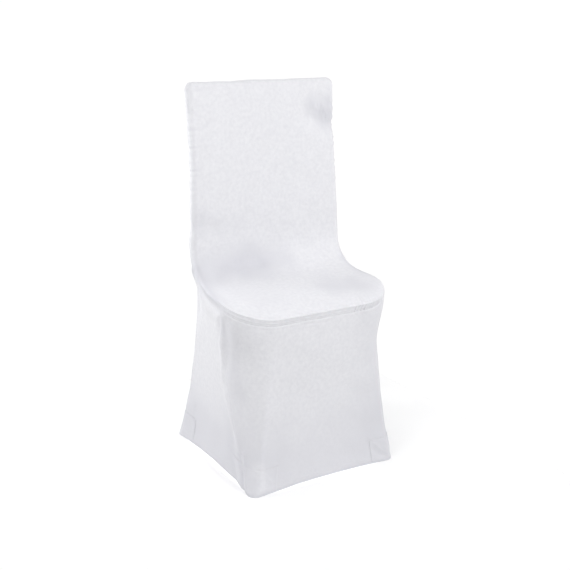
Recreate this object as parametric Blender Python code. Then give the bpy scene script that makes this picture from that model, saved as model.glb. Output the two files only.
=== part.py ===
"""Fitted chair cover of stretch knit, pulled tight.

Metres, +Z up, and the front faces -Y. The origin lies on the floor under the middle of the four feet.

The cover is first worked out as one skin of five sewn panels. Each panel is then cut out of the skin along its
seams and given the cloth's thickness, so that neighbours meet at a seam with a hair's gap between them. A doubled
pocket of the same cloth covers each foot.
"""

import math

import bmesh
import bpy
import numpy as np
from mathutils import Vector

# Cloth
CLOTH = 0.002           # thickness of the knit
SEAM_GAP = 0.0003       # between two sewn edges, and between a pocket and the skirt under it

# Middle line of the inside back and seat, from the top edge to the front edge
PROFILE = (
    # y, z, half width
    (0.1040, 0.9670, 0.2160),    # top edge
    (0.0925, 0.8500, 0.2145),
    (0.0825, 0.7200, 0.2175),
    (0.0755, 0.6000, 0.2240),
    (0.0635, 0.5285, 0.2280),    # foot of the back
    (0.0280, 0.4920, 0.2300),    # sweep from back to seat
    (-0.0455, 0.4780, 0.2335),   # seat
    (-0.1245, 0.4685, 0.2350),
    (-0.1840, 0.4500, 0.2255),   # front edge
)
WAIST_S = 0.4400        # distance down the profile to where the side seam of the back meets the skirt
BACK_ROLL = 0.014       # radius with which a panel turns over an edge of the back
SEAT_ROLL = 0.018       # the same at the seat's rim
ROLL_BLEND = (0.43, 0.63)  # distances along the profile between which one radius becomes the other
TOP_CORNER = 0.020      # radius of the back's top corners, seen from the front
SEAT_CORNER_ACROSS = 0.102  # half axes of the seat's rounded front corners
SEAT_CORNER_ALONG = 0.107

# Feet and hem
FOOT_X = 0.2160         # half the width over the feet
FOOT_Y = 0.2180         # half the depth over the feet
FOOT_ROUND = 0.0195     # radius of the cloth round a foot
POCKET_WIDTH = 0.070
POCKET_SHARE = 0.155    # height of a pocket as a share of the skirt's drop

# How far the stretched skirt draws in between the seat and the floor, and the share of the drop where it is deepest
FRONT_CORNER_ACROSS = (0.0095, 0.30)
FRONT_CORNER_ALONG = (0.0445, 0.27)
FRONT_MIDDLE_ALONG = 0.0085
REAR_CORNER_ACROSS = (0.0205, 0.14)
REAR_CORNER_ALONG = (-0.0210, 0.47)
FLARE = 0.86            # sharpness of the flare to the feet
HEM_SIDE = (0.0080, 0.0055)    # how far the hem draws in and up, halfway between two feet
HEM_FRONT = (0.0025, 0.0055)
HEM_REAR = (-0.0025, 0.0055)
HEM_FALL = 3            # the hem's sag fades up the outside back with this power of the drop

# Broad folds and hollows left in the cloth
FOLDS = (
    # start, end, half width, height
    ((-0.210, -0.150, 0.060), (-0.198, -0.045, 0.260), 0.020, 0.0030),    # ridge up from the front left foot
    ((0.200, -0.196, 0.030), (0.155, -0.196, 0.085), 0.020, 0.0030),      # ridge in from the front right foot
    ((-0.206, -0.120, 0.010), (-0.204, -0.110, 0.110), 0.020, -0.0030),   # hollow behind the front left foot
    ((0.060, -0.080, 0.472), (0.150, -0.110, 0.468), 0.045, -0.0035),     # hollow at the seat's front right
    ((-0.150, 0.074, 0.620), (-0.030, 0.070, 0.580), 0.070, -0.0025),     # hollow at the foot of the back
    ((0.150, 0.094, 0.890), (0.190, 0.090, 0.840), 0.035, -0.0020),       # slack near the top right corner
)

# Grid lines: how finely each stretch of the skin is divided
SPLINE_POINTS = 400
SEAM_POINTS = 200
BACK_ROWS = 13
ROLL_STEPS = 4
TOP_CORNER_STEPS = 2
SEAT_CORNER_STEPS = 8
POCKET_V = POCKET_WIDTH / (2 * FOOT_Y - 2 * FOOT_ROUND)
SIDE_LINES = (0, POCKET_V / 2, POCKET_V, 0.28, 0.39, 0.5, 0.61, 0.72, 1 - POCKET_V, 1 - POCKET_V / 2, 1)
DROP_LINES = (0, 0.05, 0.11, 0.18, 0.26, 0.34, 0.43, 0.52, 0.61, 0.70, 0.78, 1 - POCKET_SHARE,
              1 - 0.74 * POCKET_SHARE, 1 - 0.48 * POCKET_SHARE, 1 - 0.22 * POCKET_SHARE, 1)
POCKET_U = (POCKET_WIDTH - FOOT_ROUND) / (2 * FOOT_X - 2 * FOOT_ROUND)
ACROSS_LINES = (0, POCKET_U / 2, POCKET_U, 0.24, 0.37, 0.5, 0.63, 0.76, 1 - POCKET_U, 1 - POCKET_U / 2, 1)

WELD = 0.00005          # points of two grids nearer than this become one
TINY = 1e-6             # slack when shares are compared
SHARP_DEGREES = 40      # a sheet's cut rim stays a sharp edge, its folds don't

CLOTH_WHITE = (0.80, 0.81, 0.83, 1.0)
KNIT_ROUGHNESS = 0.75
MIRROR = np.array((-1.0, 1.0, 1.0))
PANELS = ("seat_and_inside_back", "outside_back", "skirt_left", "skirt_right", "skirt_front")
POCKETS = ("foot_pocket_front_left", "foot_pocket_front_right", "foot_pocket_rear_left", "foot_pocket_rear_right")


def clear_scene():
    """Removes the objects that a new file starts with."""
    for thing in list(bpy.data.objects):
        bpy.data.objects.remove(thing)


def distances(points):
    """Gives the distance along a line of points to each of them."""
    steps = np.linalg.norm(np.diff(points, axis=0), axis=1)
    return np.concatenate(([0.0], np.cumsum(steps)))


def natural_spline(rows, count):
    """Passes a natural cubic spline through rows of values, spaced by their distance in the first two columns."""
    rows = np.array(rows)
    knots = distances(rows[:, :2])
    gaps = np.diff(knots)
    matrix = np.eye(len(knots))
    bends = np.zeros_like(rows)
    for i in range(1, len(knots) - 1):
        matrix[i, i - 1:i + 2] = gaps[i - 1], 2 * (gaps[i - 1] + gaps[i]), gaps[i]
        bends[i] = 6 * ((rows[i + 1] - rows[i]) / gaps[i] - (rows[i] - rows[i - 1]) / gaps[i - 1])
    bends = np.linalg.solve(matrix, bends)
    s = np.linspace(0, knots[-1], count)
    i = np.clip(np.searchsorted(knots, s, side="right") - 1, 0, len(gaps) - 1)
    gap = gaps[i][:, None]
    a = (knots[i + 1] - s)[:, None] / gap
    b = 1 - a
    return a * rows[i] + b * rows[i + 1] + ((a**3 - a) * bends[i] + (b**3 - b) * bends[i + 1]) * gap**2 / 6


class Profile:
    """The middle line of the inside back and seat, read by the distance from the top edge."""

    def __init__(self):
        self.values = natural_spline(PROFILE, SPLINE_POINTS)
        self.s = distances(self.values[:, :2])
        self.length = self.s[-1]
        slope = np.gradient(self.values[:, :2], self.s, axis=0)
        self.slope = slope / np.linalg.norm(slope, axis=1)[:, None]

    def read(self, s):
        """Gives y, z, half width and the slope in y and z at the distances s."""
        return [np.interp(s, self.s, column) for column in (*self.values.T, *self.slope.T)]

    def roll(self, s):
        """Gives the radius of the rolled edge at the distances s."""
        low, high = ROLL_BLEND
        share = np.clip((s - low) / (high - low), 0, 1)
        return BACK_ROLL + (SEAT_ROLL - BACK_ROLL) * share * share * (3 - 2 * share)


class Edge:
    """A run of the left edge of the inside back and seat, where the panel starts to roll over."""

    def __init__(self, profile, s, inset, across, along):
        y, z, half, slope_y, slope_z = profile.read(s)
        size = np.hypot(across, along)
        zero = np.zeros_like(y)
        self.radius = profile.roll(s)
        self.points = np.stack((self.radius + inset - half, y, z), axis=1)
        self.out = np.stack((across / size, along / size * slope_y, along / size * slope_z), axis=1)
        self.normal = np.stack((zero, slope_z, -slope_y), axis=1)

    def rolled(self):
        """Gives the grid of the rolled edge, from the panel's flat to its seam."""
        return rolled(self.points, self.out, self.normal, self.radius)

    def seam(self):
        """Gives the line where the rolled edge ends."""
        return self.rolled()[:, -1]


def rolled(points, out, normal, radius):
    """Turns a line of points through a quarter circle, from its normal to the way out."""
    turn = np.linspace(0, math.pi / 2, ROLL_STEPS + 1)[None, :, None]
    radius = np.broadcast_to(radius, len(points))[:, None, None]
    return points[:, None] + radius * (np.sin(turn) * out[:, None] - (1 - np.cos(turn)) * normal[:, None])


def left_edge(profile, s_waist):
    """Gives the left edge in three runs: the top corner with the back, the skirt's seam, and the front corner."""
    top = TOP_CORNER - BACK_ROLL
    turn = np.linspace(math.pi / 2, 0, TOP_CORNER_STEPS + 1)
    s_top = top * (1 - np.sin(turn))
    s_back = np.linspace(top, s_waist, BACK_ROWS)[1:]
    across = np.concatenate((-np.cos(turn), -np.ones(len(s_back))))
    along = np.concatenate((-np.sin(turn), np.zeros(len(s_back))))
    inset = np.concatenate((top * (1 - np.cos(turn)), np.zeros(len(s_back))))
    back = Edge(profile, np.concatenate((s_top, s_back)), inset, across, along)

    wide, deep = SEAT_CORNER_ACROSS - SEAT_ROLL, SEAT_CORNER_ALONG - SEAT_ROLL
    s_corner = profile.length - deep
    fine = np.linspace(s_waist, s_corner, SEAM_POINTS)
    level = np.zeros(SEAM_POINTS)
    run = distances(Edge(profile, fine, level, level - 1, level).seam())
    s_side = np.interp(np.array(SIDE_LINES) * run[-1], run, fine)
    level = np.zeros(len(s_side))
    side = Edge(profile, s_side, level, level - 1, level)

    turn = np.linspace(0, math.pi / 2, SEAT_CORNER_STEPS + 1)
    corner = Edge(profile, s_corner + deep * np.sin(turn), wide * (1 - np.cos(turn)),
                  -np.cos(turn) / wide, np.sin(turn) / deep)
    return back, side, corner


def drawn_in(share, deepest):
    """Gives how far stretched cloth draws in down a drop: nothing at both ends and all of it at the deepest."""
    above = np.sin(np.clip(share / deepest, 0, 1) * math.pi / 2) ** 2
    below = np.cos(np.clip((share - deepest) / (1 - deepest), 0, 1) * math.pi / 2) ** FLARE
    return np.where(share < deepest, above, below)


def corner_line(top, foot, across, along):
    """Runs a corner seam from the seat down to a foot, drawn in on the way."""
    share = np.array(DROP_LINES)
    pull = np.outer(drawn_in(share, across[1]), (across[0], 0, 0))
    pull += np.outer(drawn_in(share, along[1]), (0, along[0], 0))
    return top + np.outer(share, foot - top) + pull


def sag(share):
    """Gives a curve that is nothing at both ends of a hem and 1 in the middle."""
    return 4 * share * (1 - share)


class Skin:
    """The outer surface of the whole cover, each face marked with its panel and its foot pocket."""

    def __init__(self):
        self.mesh = bmesh.new()
        self.panel = self.mesh.faces.layers.int.new("panel")
        self.pocket = self.mesh.faces.layers.int.new("pocket")

    def add(self, points, panel, pockets=None):
        """Adds a grid of points as faces of a panel. The pockets are numbered from 1, one number for each face."""
        rows, columns = points.shape[:2]
        verts = [[self.mesh.verts.new(p) for p in row] for row in points]
        for i in range(rows - 1):
            for j in range(columns - 1):
                face = self.mesh.faces.new((verts[i][j], verts[i + 1][j], verts[i + 1][j + 1], verts[i][j + 1]))
                face[self.panel] = PANELS.index(panel)
                face[self.pocket] = 0 if pockets is None else int(pockets[i][j])

    def join(self):
        """Welds the grids, turns every face outwards, presses the folds in and splits the faces into triangles.

        Both sides of a sheet, and a pocket over it, then bend along the same lines and stay parallel.
        """
        bmesh.ops.remove_doubles(self.mesh, verts=self.mesh.verts, dist=WELD)
        bmesh.ops.recalc_face_normals(self.mesh, faces=self.mesh.faces)
        self.mesh.normal_update()
        moves = [vert.normal * fold_height(vert.co) for vert in self.mesh.verts]
        for vert, move in zip(self.mesh.verts, moves):
            if vert.is_boundary:
                move.z = 0      # a fold leaves the hem's height as it is
            vert.co += move
        bmesh.ops.triangulate(self.mesh, faces=self.mesh.faces, quad_method="SHORT_EDGE")
        self.mesh.normal_update()

    def cut(self, layer, value, name, lift):
        """Cuts the faces with a value out of the skin as a closed sheet, lifted off the skin by a distance.

        The hem, the skin's only open edge, is cut level, so that the cover stands flat on the floor.
        """
        faces = [face for face in self.mesh.faces if face[layer] == value]
        chosen = set(faces)
        sheet = bmesh.new()
        outer, inner, rim = {}, {}, []
        shift = {}
        for face in faces:
            for loop in face.loops:
                edge = loop.edge
                if sum(other in chosen for other in edge.link_faces) == 1:
                    rim.append((loop.vert, loop.link_loop_next.vert))
                    if len(edge.link_faces) == 2 and lift == 0:
                        inward = face.normal.cross(loop.link_loop_next.vert.co - loop.vert.co).normalized()
                        for vert in edge.verts:
                            shift[vert] = shift.get(vert, Vector()) + inward
        for vert in {vert for face in faces for vert in face.verts}:
            retreat = shift.get(vert, Vector()).normalized() * SEAM_GAP / 2
            depth = vert.normal * vert.calc_shell_factor()
            if vert.is_boundary:
                level = Vector((vert.normal.x, vert.normal.y, 0))
                depth = level * vert.calc_shell_factor() / level.length_squared
            outer[vert] = sheet.verts.new(vert.co + retreat + depth * lift)
            inner[vert] = sheet.verts.new(vert.co + retreat + depth * (lift - CLOTH))
        for face in faces:
            sheet.faces.new([outer[vert] for vert in face.verts])
            sheet.faces.new([inner[vert] for vert in reversed(face.verts)])
        for a, b in rim:
            sheet.faces.new((outer[b], outer[a], inner[a], inner[b]))
        sheet.normal_update()
        mesh = bpy.data.meshes.new(name)
        sheet.to_mesh(mesh)
        sheet.free()
        mesh.shade_smooth()
        mesh.set_sharp_from_angle(angle=math.radians(SHARP_DEGREES))
        return mesh


def fold_height(point):
    """Adds up how far the folds lift or press the cloth at a point."""
    height = 0.0
    for start, end, width, lift in FOLDS:
        start, along = Vector(start), Vector(end) - Vector(start)
        share = min(max((point - start).dot(along) / along.length_squared, 0), 1)
        away = (point - start - along * share).length
        height += lift * math.exp(-((away / width) ** 2))
    return height


def sew_seat_and_back(skin, edges):
    """Adds the inside back and seat: its flat middle, and the edge that rolls over all round it."""
    left = np.concatenate([edge.points for edge in edges])
    keep = np.concatenate(([True], np.diff(distances(left)) > 0))
    share = np.array(ACROSS_LINES) * 2 - 1
    middle = left[keep][:, None] * np.stack((-share, np.ones_like(share), np.ones_like(share)), axis=1)[None]
    skin.add(middle, "seat_and_inside_back")
    for edge in edges:
        skin.add(edge.rolled(), "seat_and_inside_back")
        skin.add(edge.rolled() * MIRROR, "seat_and_inside_back")
    for edge, place in ((edges[0], 0), (edges[-1], -1)):
        line = middle[place]
        out, normal = (np.tile(v[place], (len(line), 1)) for v in (edge.out, edge.normal))
        skin.add(rolled(line, out, normal, edge.radius[place]), "seat_and_inside_back")


def sew_side(skin, top, rear, front):
    """Adds one side of the skirt between its top seam and its two corner seams, and the mirrored one."""
    along, drop = np.array(SIDE_LINES), np.array(DROP_LINES)
    draw_in, draw_up = HEM_SIDE
    hem = rear[-1] + np.outer(along, front[-1] - rear[-1]) + np.outer(sag(along), (draw_in, 0, draw_up))
    grid = top[:, None] + (hem - top)[:, None] * drop[None, :, None]
    bends = [line - line[0] - np.outer(drop, line[-1] - line[0]) for line in (rear, front)]
    grid += (1 - along)[:, None, None] * bends[0] + along[:, None, None] * bends[1]
    low = drop[:-1] >= 1 - POCKET_SHARE - TINY
    rear_cells = np.outer(along[1:] <= POCKET_V + TINY, low)
    front_cells = np.outer(along[:-1] >= 1 - POCKET_V - TINY, low)
    skin.add(grid, "skirt_left", front_cells * 1 + rear_cells * 3)
    skin.add(grid * MIRROR, "skirt_right", front_cells * 2 + rear_cells * 4)


def sew_front(skin, corner_seam, front_seam):
    """Adds the front of the skirt, which wraps both front corners, from the seat's seam to the hem."""
    top = np.concatenate((corner_seam, front_seam[1:-1], corner_seam[::-1] * MIRROR))
    turn = np.linspace(0, math.pi / 2, len(corner_seam))
    inner_x, inner_y = FOOT_X - FOOT_ROUND, FOOT_Y - FOOT_ROUND
    foot = np.stack((-inner_x - FOOT_ROUND * np.cos(turn), -inner_y - FOOT_ROUND * np.sin(turn), 0 * turn), axis=1)
    share = np.array(ACROSS_LINES)[1:-1]
    draw_in, draw_up = HEM_FRONT
    straight = foot[-1] + np.outer(share, foot[-1] * MIRROR - foot[-1]) + np.outer(sag(share), (0, draw_in, draw_up))
    hem = np.concatenate((foot, straight, foot[::-1] * MIRROR))
    facing = np.concatenate((turn, np.full(len(share), math.pi / 2), math.pi - turn[::-1]))
    drop = np.array(DROP_LINES)
    pull_x = np.outer(np.cos(facing) * FRONT_CORNER_ACROSS[0], drawn_in(drop, FRONT_CORNER_ACROSS[1]))
    along = FRONT_CORNER_ALONG[0] + (FRONT_MIDDLE_ALONG - FRONT_CORNER_ALONG[0]) * np.sin(facing) ** 2
    pull_y = np.outer(along, drawn_in(drop, FRONT_CORNER_ALONG[1]))
    grid = top[:, None] + (hem - top)[:, None] * drop[None, :, None]
    grid += np.stack((pull_x, pull_y, 0 * pull_x), axis=2)
    low = drop[:-1] >= 1 - POCKET_SHARE - TINY
    cells = len(top) - 1
    near = np.arange(cells) < len(turn) - 1 + 2
    skin.add(grid, "skirt_front", np.outer(near, low) * 1 + np.outer(near[::-1], low) * 2)


def sew_outside_back(skin, back, top_line, rear):
    """Adds the outside back, which rolls over the top and sides of the back and runs down to the rear hem."""
    seam = np.concatenate((back.seam(), rear[1:]))
    sides = np.tile((-1.0, 0.0, 0.0), (len(rear) - 1, 1))
    out = np.concatenate((back.out, sides))
    drop = np.array(DROP_LINES)[1:]
    radius = np.concatenate((np.full(len(back.points), BACK_ROLL), BACK_ROLL + (FOOT_ROUND - BACK_ROLL) * drop))
    leaning = -back.normal[0]
    behind = np.tile(leaning, (len(seam), 1))
    behind[len(back.points):] += np.outer(drop, (0, 1, 0) - leaning)

    def roll_back(line, out, behind, radius):
        """Turns a line of points through a quarter circle, from the way out to the rear."""
        turn = np.linspace(0, math.pi / 2, ROLL_STEPS + 1)[None, :, None]
        radius = np.broadcast_to(radius, len(line))[:, None, None]
        return line[:, None] + radius * (np.sin(turn) * behind[:, None] - (1 - np.cos(turn)) * out[:, None])

    edge = roll_back(seam, out, behind, radius)
    low = np.zeros(len(seam) - 1, bool)
    low[len(back.points) - 1:] = np.array(DROP_LINES)[:-1] >= 1 - POCKET_SHARE - TINY
    every = np.ones(ROLL_STEPS, bool)
    skin.add(edge, "outside_back", np.outer(low, every) * 3)
    skin.add(edge * MIRROR, "outside_back", np.outer(low, every) * 4)
    top_out, top_behind = (np.tile(v[0], (len(top_line), 1)) for v in (out, behind))
    skin.add(roll_back(top_line, top_out, top_behind, BACK_ROLL), "outside_back")
    share = np.array(ACROSS_LINES) * 2 - 1
    middle = edge[:, -1][:, None] * np.stack((-share, np.ones_like(share), np.ones_like(share)), axis=1)[None]
    draw_in, draw_up = HEM_REAR
    fall = np.concatenate((np.zeros(len(back.points)), drop ** HEM_FALL))
    middle += fall[:, None, None] * np.outer(sag(np.array(ACROSS_LINES)), (0, draw_in, draw_up))
    near = np.array(ACROSS_LINES)[1:] <= POCKET_U + TINY
    skin.add(middle, "outside_back", np.outer(low, near) * 3 + np.outer(low, near[::-1]) * 4)


def sew_skin():
    """Works out the whole cover as one skin."""
    profile = Profile()
    back, side, corner = left_edge(profile, WAIST_S)
    feet = [np.array((-FOOT_X, y, 0)) for y in (FOOT_ROUND - FOOT_Y, FOOT_Y - FOOT_ROUND)]
    front_line = corner_line(corner.seam()[0], feet[0], FRONT_CORNER_ACROSS, FRONT_CORNER_ALONG)
    rear_line = corner_line(side.seam()[0], feet[1], REAR_CORNER_ACROSS, REAR_CORNER_ALONG)
    share = np.array(ACROSS_LINES) * 2 - 1
    top_line, front_seam = (edge.seam()[place] * np.stack((-share, share * 0 + 1, share * 0 + 1), axis=1)
                            for edge, place in ((back, 0), (corner, -1)))
    skin = Skin()
    sew_seat_and_back(skin, (back, side, corner))
    sew_side(skin, side.seam(), rear_line, front_line)
    sew_front(skin, corner.seam(), front_seam)
    sew_outside_back(skin, back, top_line, rear_line)
    skin.join()
    return skin


def knit(name):
    """Makes the cloth's material for one piece."""
    material = bpy.data.materials.new(name)
    material.use_nodes = True
    shader = material.node_tree.nodes["Principled BSDF"]
    shader.inputs["Base Color"].default_value = CLOTH_WHITE
    shader.inputs["Roughness"].default_value = KNIT_ROUGHNESS
    shader.inputs["Metallic"].default_value = 0.0
    return material


def main():
    """Builds the five panels and the four foot pockets."""
    clear_scene()
    collection = bpy.data.collections.new("fitted_chair_cover")
    bpy.context.scene.collection.children.link(collection)
    skin = sew_skin()
    pieces = [(skin.panel, number, name, 0.0) for number, name in enumerate(PANELS)]
    pieces += [(skin.pocket, number, name, SEAM_GAP + CLOTH) for number, name in enumerate(POCKETS, start=1)]
    for layer, value, name, lift in pieces:
        piece = bpy.data.objects.new(name, skin.cut(layer, value, name, lift))
        piece.data.materials.append(knit(name))
        collection.objects.link(piece)
    skin.mesh.free()


main()
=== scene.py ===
"""Fitted chair cover of white stretch knit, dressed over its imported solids.

The cover is worked out as one smooth skin of five sewn panels, in metres, with +Z up and the front towards -Y.
Seams, hem, creases and puckers move the skin along its normals. Each panel and each doubled foot pocket is then
cut out of the skin and given the cloth's thickness, so that neighbours meet exactly along their seams.
"""

import logging
import math
from dataclasses import dataclass
from enum import Enum

import bpy
import numpy as np
from mathutils import Matrix, Vector


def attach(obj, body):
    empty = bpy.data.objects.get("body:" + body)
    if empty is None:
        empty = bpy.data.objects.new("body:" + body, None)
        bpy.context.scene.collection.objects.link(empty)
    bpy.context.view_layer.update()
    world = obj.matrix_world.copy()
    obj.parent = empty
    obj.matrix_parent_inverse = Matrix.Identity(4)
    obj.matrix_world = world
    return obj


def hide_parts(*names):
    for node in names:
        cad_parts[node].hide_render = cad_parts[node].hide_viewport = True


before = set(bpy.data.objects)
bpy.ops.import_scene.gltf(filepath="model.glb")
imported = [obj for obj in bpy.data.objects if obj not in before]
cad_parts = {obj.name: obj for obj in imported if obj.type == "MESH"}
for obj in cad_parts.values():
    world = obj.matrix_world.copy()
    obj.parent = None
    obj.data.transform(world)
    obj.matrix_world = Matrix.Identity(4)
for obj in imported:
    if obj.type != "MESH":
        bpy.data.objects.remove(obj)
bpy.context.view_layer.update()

LOG = logging.getLogger("chair_cover")
Array = np.ndarray
Point = tuple[float, float, float]

FAR = 1.0                  # stands for "no seam or hem near"
MIRROR = np.array((-1.0, 1.0, 1.0))
RIGHT_ANGLE = math.pi / 2
TURN = 2 * math.pi
PROFILE_SAMPLES = 1200     # points that stand for the smooth middle line
SEAM_SAMPLES = 400         # and for the skirt's seam
ROUNDING = 1e-9            # by how much two equal shares may differ
ON_HEM = 1e-6              # a point nearer to the hem's edge than this lies on it


class Panel(Enum):
    """The sewn panels, by the solid that each one replaces."""

    SEAT_AND_BACK = "seat_and_inside_back"
    OUTSIDE_BACK = "outside_back"
    SKIRT_LEFT = "skirt_left"
    SKIRT_RIGHT = "skirt_right"
    SKIRT_FRONT = "skirt_front"


class Foot(Enum):
    """The doubled pockets round the feet, by the solid that each one replaces."""

    FRONT_LEFT = "foot_pocket_front_left"
    FRONT_RIGHT = "foot_pocket_front_right"
    REAR_LEFT = "foot_pocket_rear_left"
    REAR_RIGHT = "foot_pocket_rear_right"


PANELS = list(Panel)
FEET = list(Foot)
OTHER_SIDE = {
    Panel.SKIRT_LEFT: Panel.SKIRT_RIGHT,
    Foot.FRONT_LEFT: Foot.FRONT_RIGHT,
    Foot.REAR_LEFT: Foot.REAR_RIGHT,
}


def arc(points: Array, axis: int, back: bool = False) -> Array:
    """Measures a grid along its lines.

    Each value is the sum of the straight steps from the line's first point, or to its last one.

    Args:
        points: the grid, rows by columns by 3.
        axis: 0 to measure down the rows, 1 to measure along the columns.
        back: measures from the far end.

    Returns:
        The distances, rows by columns.
    """
    steps = np.linalg.norm(np.diff(points, axis=axis), axis=2)
    run = np.cumsum(steps, axis=axis)
    run = np.concatenate((np.zeros_like(np.take(run, [0], axis=axis)), run), axis=axis)
    return np.take(run, [-1], axis=axis) - run if back else run


def eased(count: int, ends: float, marks: tuple[float, ...] = ()) -> Array:
    """Spaces lines from 0 to 1, closer together near both ends.

    The share at step t is t less (1 - ends) sin(2 pi t) / (2 pi), so a step at an end is `ends` times the mean.

    Args:
        count: how many steps.
        ends: the first and last step as a share of the mean one.
        marks: shares at which a line has to lie; the nearest line is moved there.

    Returns:
        The shares, count + 1 of them.
    """
    t = np.linspace(0, 1, count + 1)
    share = t - (1 - ends) * np.sin(TURN * t) / TURN
    for mark in marks:
        share[np.abs(share - mark).argmin()] = mark
    return share


def smooth_step(value: Array, low: float, high: float) -> Array:
    """Goes from 0 below low to 1 above high along 3t^2 - 2t^3."""
    t = np.clip((value - low) / (high - low), 0, 1)
    return t * t * (3 - 2 * t)


def ripple_field(points: Array, shortest: float, longest: float, seed: int, waves: int = 28) -> Array:
    """Makes an uneven field that has a mean of 0 and a mean square of 1.

    The value is the sum of plane cosine waves with seeded directions, phases and lengths, over the root of half
    their number.

    Args:
        points: where to read the field, any number by 3.
        shortest: the shortest wave, in metres.
        longest: the longest wave, in metres.
        seed: picks the waves.
        waves: how many waves are summed.

    Returns:
        One value for each point.
    """
    rng = np.random.default_rng(seed)
    turn = rng.normal(size=(3, waves))
    turn /= np.linalg.norm(turn, axis=0)
    length = shortest * (longest / shortest) ** rng.random(waves)
    phase = rng.random(waves) * TURN
    return np.cos(points @ (turn * TURN / length) + phase).sum(axis=1) / math.sqrt(waves / 2)


@dataclass(frozen=True)
class Crease:
    """A ridge or groove along a straight line in the cloth, with a rounded cross-section."""

    start: Point
    end: Point
    half_width: float
    height: float

    def heights(self, points: Array) -> Array:
        """Works out the crease's own height, times exp(-(distance / half width)^2).

        Args:
            points: where to read it, any number by 3.

        Returns:
            One height for each point.
        """
        start = np.array(self.start)
        along = np.array(self.end) - start
        share = np.clip((points - start) @ along / (along @ along), 0, 1)
        away = np.linalg.norm(points - start - share[:, None] * along, axis=1)
        return self.height * np.exp(-((away / self.half_width) ** 2))


@dataclass(frozen=True)
class Crumple:
    """A round patch of fine, uneven creases where the cloth is slack."""

    centre: Point
    radius: float
    height: float
    wave: float
    seed: int
    longest: float = 2.2     # the longest ripple over the shortest
    mean: float = 0.8        # taken off, so that the patch sinks about as much as it rises

    def heights(self, points: Array) -> Array:
        """Works out the size of a ripple field, less its mean, times exp(-(distance / radius)^2).

        Args:
            points: where to read it, any number by 3.

        Returns:
            One height for each point.
        """
        away = np.linalg.norm(points - np.array(self.centre), axis=1)
        ripple = ripple_field(points, self.wave, self.wave * self.longest, self.seed)
        return self.height * (np.abs(ripple) - self.mean) * np.exp(-((away / self.radius) ** 2))


@dataclass(frozen=True)
class Puckers:
    """Small dents along a stretch of seam, where the thread draws the cloth together."""

    start: Point
    end: Point
    reach: float                                  # how far they run out from the seam
    spacing: float
    height: float
    slant: float = 0.0
    skirt_share: float = 1.0                      # how much of them shows on the skirt's side of the seam
    width: float = 0.05                           # how far off their line they die out
    fade: float = 0.12                            # share of their length over which they start and end
    wander: tuple[float, float] = (0.9, 5.3)      # how far out of step, in radians, and over how many dents
    quiver: tuple[float, float] = (0.5, 61.0)     # the same once more and finer, in radians to the metre
    uneven: tuple[float, float] = (0.35, 3.1)     # by what share the height varies, and over how many dents

    def heights(self, skin: "Skin") -> Array:
        """Works out a cosine along the stretch, times exp(-seam distance / reach) and a fade off its line.

        The slant shifts the wave along the stretch with the distance from the seam. Two sines put the dents out
        of step, and a third makes some of them deeper than others.

        Args:
            skin: the cover's skin.

        Returns:
            One height for each point of the skin.
        """
        start = np.array(self.start)
        along = np.array(self.end) - start
        length = np.linalg.norm(along)
        run = (skin.points - start) @ along / length
        off = np.linalg.norm(skin.points - start - np.outer(run / length, along), axis=1)
        inside = smooth_step(run, 0, self.fade * length) * smooth_step(length - run, 0, self.fade * length)
        dents = run * TURN / self.spacing
        drift = self.wander[0] * np.sin(dents / self.wander[1]) + self.quiver[0] * np.sin(run * self.quiver[1])
        wave = np.cos(TURN * (run + self.slant * skin.seam) / self.spacing + drift)
        uneven = 1 - self.uneven[0] + self.uneven[0] * np.sin(dents / self.uneven[1] + 1.0)
        share = np.where(skin.on_seat & (skin.seam > 0), 1.0, self.skirt_share)
        height = self.height * share * wave * uneven * inside
        return height * np.exp(-skin.seam / self.reach) * np.exp(-((off / self.width) ** 2))


@dataclass(frozen=True)
class SewnEdges:
    """How the cloth's thickness shows along its seams and hem."""

    groove_depth: float = 0.0008
    groove_half_width: float = 0.0014
    allowance_height: float = 0.0003     # the turned-in edges under the cloth lift it a little
    allowance_place: float = 0.0045
    allowance_half_width: float = 0.0028
    hem_width: float = 0.0130
    hem_height: float = 0.0007           # a second layer of cloth
    hem_step: tuple[float, float] = (-0.0010, 0.0025)     # from the hem's width: where that layer ends
    hem_stitch_place: float = 0.0020     # inside the hem's width
    hem_stitch_depth: float = 0.0004
    hem_stitch_half_width: float = 0.0012

    def heights(self, skin: "Skin") -> Array:
        """Works out a groove on each seam with a low welt beside it, and a step with a groove at the hem.

        Args:
            skin: the cover's skin.

        Returns:
            One height for each point of the skin.
        """
        height = -self.groove_depth * np.exp(-((skin.seam / self.groove_half_width) ** 2))
        welt = (skin.seam - self.allowance_place) / self.allowance_half_width
        height += self.allowance_height * np.exp(-(welt ** 2))
        low, high = (self.hem_width + step for step in self.hem_step)
        height += self.hem_height * (1 - smooth_step(skin.hem, low, high))
        stitch = (skin.hem - self.hem_width + self.hem_stitch_place) / self.hem_stitch_half_width
        return height - self.hem_stitch_depth * np.exp(-(stitch ** 2))


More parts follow.
